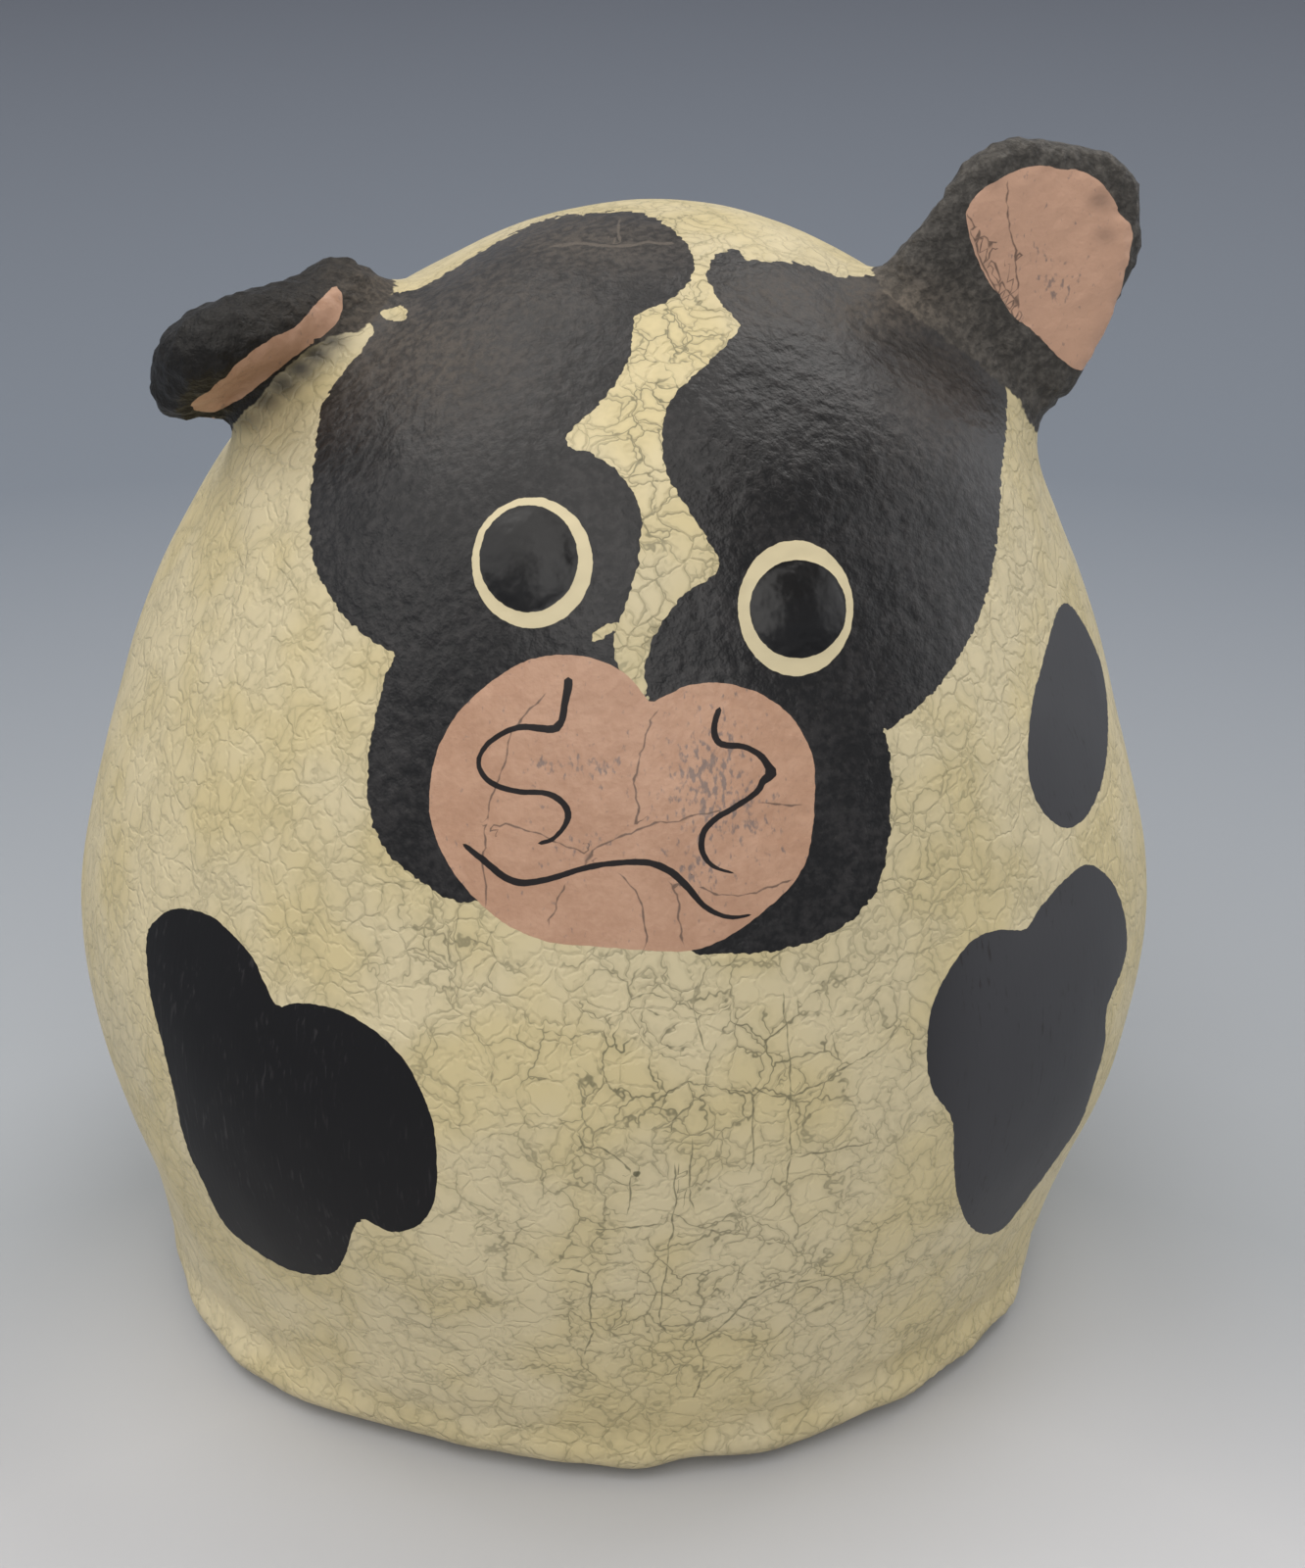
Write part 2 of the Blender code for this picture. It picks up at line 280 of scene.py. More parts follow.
# Painted areas, traced in the picture. A point given twice makes a corner.
paintSet = {
    "leftPatch": (
        (382, 336), (371, 355), (344, 388), (327, 421), (319, 486), (316, 541), (325, 585), (355, 634),
        (404, 669), (404, 669), (390, 699), (379, 754), (375, 809), (390, 863), (426, 896), (475, 921),
        (560, 900), (664, 850), (664, 718), (664, 718), (650, 705), (628, 672), (631, 639), (644, 601),
        (653, 563), (655, 530), (647, 503), (628, 478), (606, 464), (582, 456), (579, 442), (595, 426),
        (623, 399), (644, 360), (647, 323), (655, 318), (683, 306), (705, 284), (705, 257), (683, 232),
        (650, 217), (595, 219), (546, 229), (480, 262), (431, 292), (400, 300), (372, 318)),
    "rightPatch": (
        (724, 273), (732, 259), (754, 256), (765, 265), (819, 270), (852, 281), (885, 281), (960, 280),
        (1010, 330), (1027, 396), (1027, 442), (1022, 486), (1016, 563), (1000, 628), (967, 688),
        (929, 727), (904, 746), (904, 746), (910, 792), (907, 858), (893, 913), (852, 951), (792, 970),
        (737, 973), (705, 970), (690, 930), (664, 850), (664, 718), (664, 718), (658, 688), (664, 661),
        (677, 634), (699, 606), (729, 587), (735, 571), (726, 557), (710, 530), (688, 497), (677, 470),
        (677, 431), (688, 404), (715, 377), (748, 344), (754, 330), (737, 311), (721, 284)),
    "leftSpot": (
        (149, 956), (154, 944), (174, 928), (202, 930), (226, 943), (258, 977), (272, 1006), (284, 1027),
        (296, 1024), (314, 1024), (349, 1032), (384, 1053), (413, 1082), (431, 1115), (443, 1150),
        (446, 1188), (444, 1223), (431, 1247), (407, 1257), (390, 1253), (369, 1242), (369, 1242),
        (361, 1253), (352, 1282), (339, 1299), (308, 1299), (281, 1289), (252, 1270), (228, 1247),
        (208, 1206), (190, 1165), (179, 1121), (167, 1071), (154, 1018), (149, 977)),
    "rightUpperSpot": (
        (1084, 616), (1098, 621), (1117, 654), (1129, 683), (1132, 735), (1126, 791), (1112, 829),
        (1091, 845), (1070, 834), (1053, 805), (1049, 768), (1053, 720), (1063, 683), (1075, 640)),
    "rightLowerSpot": (
        (1110, 882), (1131, 895), (1145, 923), (1152, 961), (1145, 994), (1131, 1027), (1129, 1065),
        (1119, 1103), (1103, 1150), (1075, 1192), (1046, 1230), (1023, 1256), (1001, 1259), (985, 1244),
        (975, 1211), (973, 1169), (971, 1140), (952, 1112), (946, 1074), (950, 1032), (966, 994),
        (990, 961), (1018, 949), (1046, 948), (1060, 928), (1089, 895)),
    "muzzle": (
        (664, 718), (664, 718), (639, 688), (606, 672), (573, 668), (535, 675), (497, 699), (464, 732),
        (445, 770), (438, 814), (442, 847), (459, 885), (486, 918), (519, 945), (562, 962), (606, 966),
        (661, 970), (705, 970), (743, 956), (781, 929), (814, 896), (828, 858), (832, 809), (829, 770),
        (808, 732), (776, 708), (737, 697), (705, 699), (683, 708)),
    "raisedPink": (
        (987, 216), (999, 197), (1018, 184), (1044, 172), (1068, 169), (1083, 173), (1098, 173),
        (1118, 182), (1133, 197), (1144, 218), (1154, 231), (1155, 244), (1148, 279), (1142, 305),
        (1127, 348), (1105, 377), (1085, 368), (1068, 351), (1051, 335), (1033, 322), (1020, 301),
        (1010, 290), (999, 266), (990, 240)),
    "droopingPink": (
        (341, 291), (346, 295), (350, 304), (349, 317), (339, 335), (308, 358), (280, 380), (258, 398),
        (237, 413), (209, 423), (197, 417), (195, 412), (209, 402), (225, 388), (247, 366), (268, 352),
        (282, 342), (298, 336), (316, 317), (328, 305)),
    "underEar": (
        (238, 437), (246, 424), (262, 408), (278, 389), (291, 377), (309, 361), (328, 348), (349, 341),
        (370, 338), (384, 332), (372, 350), (350, 385), (330, 420), (290, 450), (250, 460)),
    "earDab": ((389, 319), (400, 315), (412, 313), (416, 325), (404, 328), (393, 325)),
    "eyeSplash": ((602, 655), (611, 641), (630, 635), (622, 648), (612, 654)),
}
creamOnBlack = ("earDab", "eyeSplash")

eyeSet = {                      # centre and half sizes of the ring and of the disc in it
    "left": (((543, 574), (62, 67)), ((539.5, 570), (50.5, 55))),
    "right": (((812, 620.5), (59, 69.5)), ((814.5, 621.5), (49.5, 50.5))),
}

strokeSet = {                   # across, down and width in pixels, from end to end
    "leftNostril": (
        (580, 690, 10), (580, 700, 9), (577, 716, 7.5), (572, 739, 7), (561, 744, 8), (531, 742, 6),
        (505, 753, 5.5), (490, 770, 5), (490, 786, 5), (505, 801, 6), (531, 808, 5.5), (555, 809, 6),
        (572, 817, 6.5), (580, 831, 7), (575, 845, 5), (563, 857, 4.5), (548, 861, 4)),
    "rightNostril": (
        (735, 721, 6), (729, 740, 6.5), (731, 754, 7), (738, 760, 6.5), (760, 762, 6), (776, 771, 6.5),
        (784, 781, 8), (788, 789, 10), (779, 797, 8), (773, 808, 6), (751, 823, 6), (728, 837, 6),
        (717, 852, 6.5), (717, 869, 6), (728, 884, 4.5), (749, 891, 2.5)),
    "mouth": (
        (472, 861, 5), (496, 880, 7), (513, 894, 7.5), (532, 901, 7), (561, 897, 6.5), (596, 886, 6),
        (625, 881, 6), (660, 880, 6.5), (682, 888, 7.5), (700, 903, 7.5), (716, 922, 6),
        (733, 933, 5), (751, 936, 4), (768, 933, 2.5)),
    "taper": 4.0,               # pixels over which an end thins out
}

# Fine lines: cracks in the pink and the cream, and the crease on the crown
lineSet = {
    "pink": (
        ((556, 707), (536, 730), (521, 752), (514, 778), (505, 805), (496, 845), (494, 871), (495, 924)),
        ((671, 725), (660, 747), (651, 778), (649, 805), (651, 827), (647, 845)),
        ((735, 829), (713, 830), (695, 837), (664, 842), (638, 853), (607, 866), (600, 878), (594, 887)),
        ((494, 840), (532, 845), (576, 862), (607, 875)),
        ((629, 889), (651, 915), (658, 951), (660, 966)),
        ((680, 898), (691, 915), (695, 951), (700, 964)),
        ((580, 898), (567, 924), (558, 946)),
        ((713, 906), (748, 915), (784, 906), (810, 898)),
        ((775, 818), (819, 822)),
        ((1031, 184), (1028, 212), (1034, 245), (1038, 262), (1037, 294), (1040, 314), (1043, 329)),
        ((988, 216), (999, 236), (1010, 249), (1012, 266), (1023, 288), (1034, 301), (1040, 318)),
        ((989, 234), (999, 259), (1010, 284), (1020, 303), (1036, 325), (1052, 338), (1070, 354))),
    "cream": (
        ((711, 1014), (708, 1027), (715, 1055), (719, 1074)),
        ((799, 1014), (804, 1060), (806, 1110), (807, 1148), (806, 1181), (801, 1219)),
        ((894, 1072), (873, 1082), (845, 1101), (818, 1115), (801, 1119), (785, 1118), (763, 1104)),
        ((767, 1109), (769, 1164), (766, 1197)),
        ((703, 1109), (706, 1126), (687, 1142), (684, 1159)),
        ((706, 1161), (703, 1208), (708, 1235)),
        ((690, 1186), (689, 1219), (686, 1257), (678, 1306), (673, 1350), (686, 1364)),
        ((834, 1306), (796, 1312), (763, 1328), (741, 1350), (714, 1367), (686, 1366)),
        ((604, 1254), (637, 1252), (675, 1249)),
        ((894, 1164), (856, 1172), (812, 1180)),
        ((569, 1293), (599, 1301), (602, 1328), (604, 1356), (596, 1383)),
        ((643, 1197), (640, 1241)),
        ((648, 1197), (621, 1175), (599, 1170), (591, 1159)),
        ((708, 1367), (719, 1394), (708, 1427))),
    "crown": (
        ((560, 252), (592, 248), (628, 251), (660, 247), (690, 249)),
        ((633, 222), (631, 236), (634, 250))),
    "half": 0.13,               # mm
    "wander": {"pink": 4.0, "cream": 3.5, "crown": 1.2},    # pixels that a line strays sideways
    "seed": 3,                  # of the wander, which is then the same in each run
    "taper": 7.0,               # pixels over which an end thins out
}

# Soft marks: centre and half sizes in pixels, and how strong they are
markSet = {
    "smudge": (
        ((728, 800), (46, 66), 0.95), ((770, 836), (32, 26), 0.7), ((600, 781), (58, 15), 0.65),
        ((610, 862), (40, 12), 0.45), ((712, 880), (22, 42), 0.8), ((672, 866), (32, 13), 0.4),
        ((1078, 292), (20, 16), 0.8), ((1066, 262), (26, 12), 0.4)),
    "dust": (
        ((430, 360), (110, 70), 0.75), ((600, 245), (120, 38), 0.65), ((500, 300), (110, 60), 0.45),
        ((905, 312), (75, 34), 0.95), ((800, 300), (80, 35), 0.55), ((960, 380), (60, 90), 0.30),
        ((385, 300), (50, 40), 0.55), ((1124, 205), (13, 10), 0.9), ((1128, 240), (12, 9), 0.6)),
    # painted shade: dark brown on the cream under the drooping ear
    "shadeUnderEar": (
        ((338, 348), (18, 11), 0.9), ((322, 361), (20, 14), 1.0), ((305, 376), (22, 16), 1.0),
        ((288, 392), (22, 17), 1.0), ((270, 408), (22, 16), 0.9), ((250, 427), (24, 14), 0.7),
        ((300, 440), (36, 60), 0.32)),
    "crackle": (                # the rest of the crackle is faint
        ((680, 430), (75, 260), 0.55), ((700, 1075), (230, 110), 0.60), ((690, 1290), (260, 150), 0.42),
        ((470, 980), (110, 90), 0.35), ((930, 840), (60, 110), 0.25), ((430, 640), (60, 120), 0.15)),
}

pitSet = {"pixel": (649, 1199), "radius": 0.48, "raggedness": 4.5}

# Spots on the unseen side: azimuth, height, half width and half height, in degrees and mm
backSpots = (
    (132, 34, 13, 11), (-118, 82, 10, 15), (168, 66, 15, 19), (-152, 40, 14, 12), (-172, 101, 11, 9),
    (112, 88, 9, 11))


def throughPoints(points, closed, steps=5):
    p = np.array(points, float)
    if closed:
        p = np.concatenate((p[-1:], p, p[:2]))
    else:
        p = np.concatenate((2 * p[:1] - p[1:2], p, 2 * p[-1:] - p[-2:-1]))
    curve = []
    for a, b, c, d in zip(p, p[1:], p[2:], p[3:]):
        for t in np.arange(steps) / steps:
            bent = (2 * a - 5 * b + 4 * c - d) * t * t + (3 * b - a - 3 * c + d) * t ** 3
            curve.append((2 * b + (c - a) * t + bent) / 2)
    if not closed:
        curve.append(p[-2])
    return np.array(curve)


def ellipse(centre, halfSizes, sides=48):
    turns = np.arange(sides) / sides * 2 * math.pi
    return np.array(centre) + np.stack((np.cos(turns), np.sin(turns)), 1) * np.array(halfSizes)


def insideBy(pixels, outline, reach=160):
    # Pixels from the outline, positive inside it; far points just get -reach
    result = np.full(len(pixels), -float(reach))
    low, high = outline.min(0) - reach, outline.max(0) + reach
    near = np.where(((pixels > low) & (pixels < high)).all(1))[0]
    p = pixels[near]
    best = np.full(len(p), float(reach) ** 2)
    within = np.zeros(len(p), bool)
    for a, b in zip(outline, np.roll(outline, -1, 0)):
        side = b - a
        if not side.any():
            continue
        t = np.clip((p - a) @ side / (side @ side), 0, 1)
        off = p - a - t[:, None] * side
        best = np.minimum(best, np.einsum("ij,ij->i", off, off))
        if a[1] != b[1]:
            crosses = (a[1] > p[:, 1]) != (b[1] > p[:, 1])
            within ^= crosses & (p[:, 0] < a[0] + (p[:, 1] - a[1]) * side[0] / side[1])
    result[near] = np.sqrt(best) * np.where(within, 1, -1)
    return result


def besideLine(pixels, line, reach=40):
    # Signed offset from a line, distance from it, the way along it from its nearer end, and
    # the line's width there, if it has one
    line, widths = line[:, :2], line[:, -1]
    offset = np.full(len(pixels), float(reach))
    away = np.full(len(pixels), float(reach))
    fromEnd = np.full(len(pixels), -float(reach))
    wide = np.zeros(len(pixels))
    low, high = line.min(0) - reach, line.max(0) + reach
    near = np.where(((pixels > low) & (pixels < high)).all(1))[0]
    p = pixels[near]
    best = np.full(len(p), float(reach))
    lengths = np.linalg.norm(np.diff(line, axis=0), axis=1)
    starts = np.concatenate(((0,), np.cumsum(lengths)))
    for i, (a, b) in enumerate(zip(line, line[1:])):
        way = (b - a) / lengths[i]
        free = (p - a) @ way
        t = np.clip(free, 0, lengths[i])
        gap = np.linalg.norm(p - a - t[:, None] * way, axis=1)
        here = widths[i] + (widths[i + 1] - widths[i]) * t / lengths[i]
        if i == 0:
            t = np.minimum(free, t)
        if i == len(lengths) - 1:
            t = np.maximum(free, t)
        passed = starts[i] + t
        nearer = gap < best
        chosen = near[nearer]
        best = np.where(nearer, gap, best)
        side = way[0] * (p - a)[:, 1] - way[1] * (p - a)[:, 0]
        offset[chosen] = side[nearer]
        away[chosen] = gap[nearer]
        fromEnd[chosen] = np.minimum(passed, starts[-1] - passed)[nearer]
        wide[chosen] = here[nearer]
    return offset, away, fromEnd, wide


def nearest(facts, lines, taper, halfOf, far=4.0):
    # For each point, the offset from its nearest line, the distance and the line's half width, in mm
    offset = np.full(len(facts["pixels"]), far)
    away = np.full(len(facts["pixels"]), far)
    half = np.full(len(facts["pixels"]), -1.0)
    for line in lines:
        sideways, gap, fromEnd, wide = besideLine(facts["pixels"], line)
        gap = gap * facts["scale"]
        nearer = (gap < away) & (facts["facing"] > 0)
        ends = np.clip(fromEnd / taper, -1, 1)
        thinned = halfOf(wide) * np.sign(ends) * np.abs(ends) ** 0.6
        offset = np.where(nearer, sideways * facts["scale"], offset)
        half = np.where(nearer, thinned, half)
        away = np.where(nearer, gap, away)
    return offset, away, half


def strays(line, amount, seed):
    # The points of a crack, each moved a little, so that its way is crooked
    points = throughPoints(line, False, 8)
    for number, point in enumerate(points):
        step = noise.noise_vector(Vector((number * 0.45, seed * 7.3, 0.5)))
        point += np.array(step[:2]) * amount
    return points


def softMarks(pixels, marks):
    total = np.zeros(len(pixels))
    for centre, halfSizes, strength in marks:
        off = (pixels - np.array(centre)) / np.array(halfSizes)
        total = np.maximum(total, strength * np.exp(-np.einsum("ij,ij->i", off, off)))
    return total


def lobedSpot(mm, azimuth, height, halfWide, halfTall):
    # Millimetres inside a blob with three or four soft lobes, on the wall at that azimuth
    turn = np.degrees(np.arctan2(mm[:, 0], -mm[:, 1])) - azimuth
    turn = (turn + 180) % 360 - 180
    widest = 60                 # degrees that a spot may reach
    u = np.radians(turn) * np.hypot(mm[:, 0], mm[:, 1]) / halfWide
    v = (mm[:, 2] - height) / halfTall
    angle = np.arctan2(v, u)
    lobes = 1 + 0.16 * np.sin(3 * angle + azimuth) + 0.10 * np.sin(4 * angle + height)
    inside = (lobes - np.hypot(u, v)) * min(halfWide, halfTall)
    return np.where(np.abs(turn) < widest, inside, unseen)


def store(mesh, name, values):
    attribute = mesh.attributes.new(name, "FLOAT", "POINT")
    attribute.data.foreach_set("value", np.asarray(values, np.float32))


def makeSkin():
    mesh = fineSkin(frame["nodes"]["cow_figurine"], skinSet)
    points = readPoints(mesh) / millimetre
    earness = np.clip(wallRise(points, wallSet) / wallSet["earFull"], 0, 1)
    earness *= points[:, 2] > wallSet["earsAbove"]

    def strength(turn):
        # The ears stop early, so that they keep their thickness
        return 0.5 * np.where(turn < skinSet["earPasses"], 1, 1 - earness)

    smoothSkin(mesh, skinSet["bodyPasses"], strength)
    flattenFoot(mesh)
    refineFace(mesh, skinSet)
    return mesh


skin = makeSkin()
print("skin laid:", len(skin.vertices), "points")


def describe(mesh):
    # Where each point of the skin lies: in mm, in the picture, on the ears and above the head's wall
    points = readPoints(mesh)
    normals = readNormals(mesh)
    pixels, scale = toPicture(points, cameraSet)
    towards = np.array(cameraSet["place"]) - points
    towards /= np.linalg.norm(towards, axis=1)[:, None]
    facing = np.einsum("ij,ij->i", normals, towards)
    mm = points / millimetre
    ears = {name: earPlaces(mm, ear) for name, ear in earSet.items()}
    rise = wallRise(mm, wallSet)
    nearEar = np.minimum(ears["raised"][3], ears["drooping"][3])
    rise = np.where(nearEar < wallSet["earReach"], rise, wallSet["noEar"])
    return {
        "points": mm, "normals": normals, "pixels": pixels, "scale": scale,
        "facing": facing, "ears": ears, "rise": rise,
    }


def paintSkin(mesh, facts):
    # Stores how far inside each painted area a point lies, in mm, and its lines and soft marks
    pixels, scale, facing = facts["pixels"], facts["scale"], facts["facing"]

    def area(name):
        values = insideBy(pixels, throughPoints(paintSet[name], True)) * scale
        return np.where(facing > 0.0, values, unseen)

    bare = np.maximum.reduce([area(name) for name in creamOnBlack])
    black = np.minimum(np.maximum(area("leftPatch"), area("rightPatch")), -bare)

    def rounded(values, corner=1.2, turnedAway=14.0):
        # Where a spot leaves the picture's sight it ends in round corners, not in a straight cut
        return -corner * np.log(np.exp(-values / corner) + np.exp(-facing * turnedAway / corner))

    spots = [rounded(area(name)) for name in ("leftSpot", "rightUpperSpot", "rightLowerSpot")]
    spots += [lobedSpot(facts["points"], *spot) for spot in backSpots]
    ear = np.minimum(facts["rise"] - wallSet["earStarts"], -np.maximum(bare, area("underEar")))
    inward = facts["ears"]["raised"][2]
    raised = insideBy(pixels, throughPoints(paintSet["raisedPink"], True)) * scale
    raised = np.minimum(raised, inward + 0.5)
    raised = np.where((ear > 0) & (facts["points"][:, 0] > 0), raised, unseen)
    along, across, inward, _ = facts["ears"]["drooping"]
    halfWide, start, end = earSet["drooping"]["unseenPink"]
    wide, long = earSet["drooping"]["pinkSize"]
    hidden = np.minimum.reduce((
        (halfWide - np.abs(across)) * wide, (along - start) * long, (end - along) * long, inward))
    drooping = np.where(facing > 0.02, area("droopingPink"), hidden)
    drooping = np.where((ear > 0) & (facts["points"][:, 0] < 0), drooping, unseen)
    store(mesh, "faceBlack", black)
    store(mesh, "spotBlack", np.maximum.reduce(spots))
    store(mesh, "earBlack", ear)
    store(mesh, "muzzlePink", area("muzzle"))
    store(mesh, "earPink", np.maximum(raised, drooping))
    for part, index in (("eyeRing", 0), ("eyeDisc", 1)):
        both = [insideBy(pixels, ellipse(*eyeSet[side][index])) for side in ("left", "right")]
        store(mesh, part, np.where(facing > 0, np.maximum(*both) * scale, unseen))
    strokes = [throughPoints(strokeSet[n], False) for n in ("leftNostril", "rightNostril", "mouth")]
    marked = nearest(facts, strokes, strokeSet["taper"], lambda wide: wide * scale / 2)
    for name, values in zip(("strokeOffset", "strokeAway", "strokeHalf"), marked):
        store(mesh, name, values)
    cracks = []
    noise.seed_set(lineSet["seed"])
    for group, amount in lineSet["wander"].items():
        cracks += [strays(line, amount, number) for number, line in enumerate(lineSet[group])]
    marked = nearest(facts, cracks, lineSet["taper"], lambda wide: lineSet["half"])
    for name, values in zip(("lineOffset", "lineAway", "lineHalf"), marked):
        store(mesh, name, values)
    visible = facing > 0
    for name, marks in markSet.items():
        store(mesh, name, softMarks(pixels, marks) * visible)
    facts["earness"] = np.clip(ear / 2, 0, 1) * (1 - 0.65 * np.clip(np.maximum(raised, drooping), 0, 1))
    facts["faceness"] = np.clip(black / 2, 0, 1)


def footRelief(mm, s):
    azimuth = np.degrees(np.arctan2(mm[:, 0], -mm[:, 1]))
    share = np.full(len(mm), s["everywhere"])
    for middle, spread, strength in s["stronger"]:
        share += strength * np.exp(-((azimuth - middle) / spread) ** 2)
    total = np.zeros(len(mm))
    for depth, height, half in (s["rim"], s["groove"]):
        total += depth * np.exp(-((mm[:, 2] - height) / half) ** 2)
    return total * share * (1 + lumpy(mm, (s["uneven"],), 5.5))


def roughenSkin(mesh, facts):
    mm, normals = facts["points"], facts["normals"]
    depth = lumpy(mm, skinSet["lumps"], 3.1) + footRelief(mm, footSet)
    depth += facts["faceness"] * lumpy(mm, skinSet["faceLumps"], 7.7)
    onEar = facts["earness"] > 0
    rough = np.zeros(len(mm))
    rough[onEar] = lumpy(mm[onEar], skinSet["earLumps"], 1.9)
    depth += facts["earness"] * rough
    for centre, halfSizes in (eyeSet[side][1] for side in eyeSet):
        off = (facts["pixels"] - np.array(centre)) / np.array(halfSizes)
        dome = np.clip(1 - np.einsum("ij,ij->i", off, off), 0, 1)
        depth += skinSet["eyeBulge"] * dome * (facts["facing"] > 0)
    depth *= np.clip(mm[:, 2] / footSet["fade"], 0, 1)
    inset, top = footSet["undercut"]
    below = np.clip(1 - mm[:, 2] / top, 0, 1)
    rolled = inset * (1 - np.sqrt(1 - below ** 2)) / np.hypot(mm[:, 0], mm[:, 1]).clip(1)
    moved = mm + normals * depth[:, None]
    moved[:, :2] -= mm[:, :2] * rolled[:, None]
    writePoints(mesh, moved * millimetre)


facts = describe(skin)
gaps = np.linalg.norm(facts["pixels"] - np.array(pitSet["pixel"]), axis=1)
gaps[facts["facing"] < 0] = np.inf
pitPlace = tuple(facts["points"][np.argmin(gaps)])
paintSkin(skin, facts)
roughenSkin(skin, facts)
skin.shade_smooth()
print("paint areas and relief done")


class Graph:
    # Short ways to add nodes to a material
    def __init__(self, tree):
        self.tree = tree

    def add(self, kind, inputs, **settings):
        made = self.tree.nodes.new("ShaderNode" + kind)
        for name, value in settings.items():
            setattr(made, name, value)
        for name, value in inputs.items():
            if isinstance(value, bpy.types.NodeSocket):
                self.tree.links.new(value, made.inputs[name])
            else:
                made.inputs[name].default_value = value
        return made

    def maths(self, operation, a, b=0.0, c=0.0):
        return self.add("Math", {0: a, 1: b, 2: c}, operation=operation).outputs[0]

    def attribute(self, name):
        return self.add("Attribute", {}, attribute_name=name).outputs["Fac"]

    def noise(self, place, width, detail=2.0, roughness=0.5):
        inputs = {"Vector": place, "Scale": 1 / width, "Detail": detail, "Roughness": roughness}
        return self.add("TexNoise", inputs)

    def rise(self, value, low, high, bottom=0.0, top=1.0):
        inputs = {"Value": value, "From Min": low, "From Max": high, "To Min": bottom, "To Max": top}
        return self.add("MapRange", inputs, interpolation_type="SMOOTHSTEP").outputs[0]

    def mix(self, share, a, b):
        made = self.add("Mix", {0: share, 6: a, 7: b}, data_type="RGBA")
        return made.outputs[2]

    def shift(self, place, colour, amount):
        # Moves a place by a random colour, up to about a quarter of the amount in mm
        step = self.add("VectorMath", {0: colour, 1: (0.5, 0.5, 0.5)}, operation="SUBTRACT")
        scaled = self.add("VectorMath", {0: step.outputs[0], "Scale": amount}, operation="SCALE")
        return self.add("VectorMath", {0: place, 1: scaled.outputs[0]}, operation="ADD").outputs[0]


def shaderFor(g, name, roughness, shine=0.5):
    made = g.add("BsdfPrincipled", {"Roughness": roughness, "Specular IOR Level": shine})
    made.label = name
    return made


def bumpFrom(g, shader, height, depth):
    # Relief of that many mm, for a height from 0 to 1
    made = g.add("Bump", {"Strength": 1.0, "Distance": depth * millimetre, "Height": height})
    g.tree.links.new(made.outputs[0], shader.inputs["Normal"])


def tracedLine(g, wobble, width=1.0):
    # The fine lines that are traced in the picture
    half = g.maths("MULTIPLY", g.attribute("lineHalf"), width)
    beyond = g.maths("SUBTRACT", g.maths("ABSOLUTE", g.attribute("lineOffset")), half)
    line = g.rise(g.maths("ADD", beyond, wobble), -0.09, 0.06, 1.0, 0.0)
    return g.maths("MULTIPLY", line, g.maths("LESS_THAN", g.attribute("lineAway"), 0.8))


creamSet = {
    "colour": (0.625, 0.535, 0.330, 1),
    "warm": (0.600, 0.500, 0.268, 1),
    # darker cream towards the floor: painted shade at the foot
    "rim": (0.560, 0.480, 0.310, 1),
    "crack": (0.105, 0.098, 0.048, 1),
    # brown-black of the painted shade under the drooping ear, which the dust on the cream also takes
    "shadeUnderEar": (0.060, 0.050, 0.034, 1),
    "roughness": 0.50,
    "cracks": (                 # cell size, line width, both in mm, strength, and how much is bare
        (4.7, 0.175, 0.95, 0.27), (2.5, 0.130, 0.85, 0.38)),
    "faintest": 0.33,           # strength of the lines far from the crackle marks in markSet
    "fadeIn": 0.26,
    "bends": (3.6, 3.2),        # width of a line's bends and how far they push it, in mm
    "kinks": (0.65, 0.75),      # the same for its small kinks
    "patches": 7.5,             # mm, width of the places with more and fewer cracks
    "ragged": 0.28,
    "nearFace": (11.5, 0.11),   # mm from the black face, and how many more cracks there are
    "shade": (0.8, 0.13),       # a soft shade beside a crack: its width in mm and its strength
    "flakeEdge": 0.36,          # mm
    "relief": 0.085,            # mm
    "traced": (0.65, 0.78),     # width and strength of the lines that are traced
    "clouds": 15.0,             # mm, width of the warmer places
    "footShadeTop": 4.5,              # mm above the floor
    "shadeUnderEarShare": 0.95,
    "dustShare": 0.35,
}


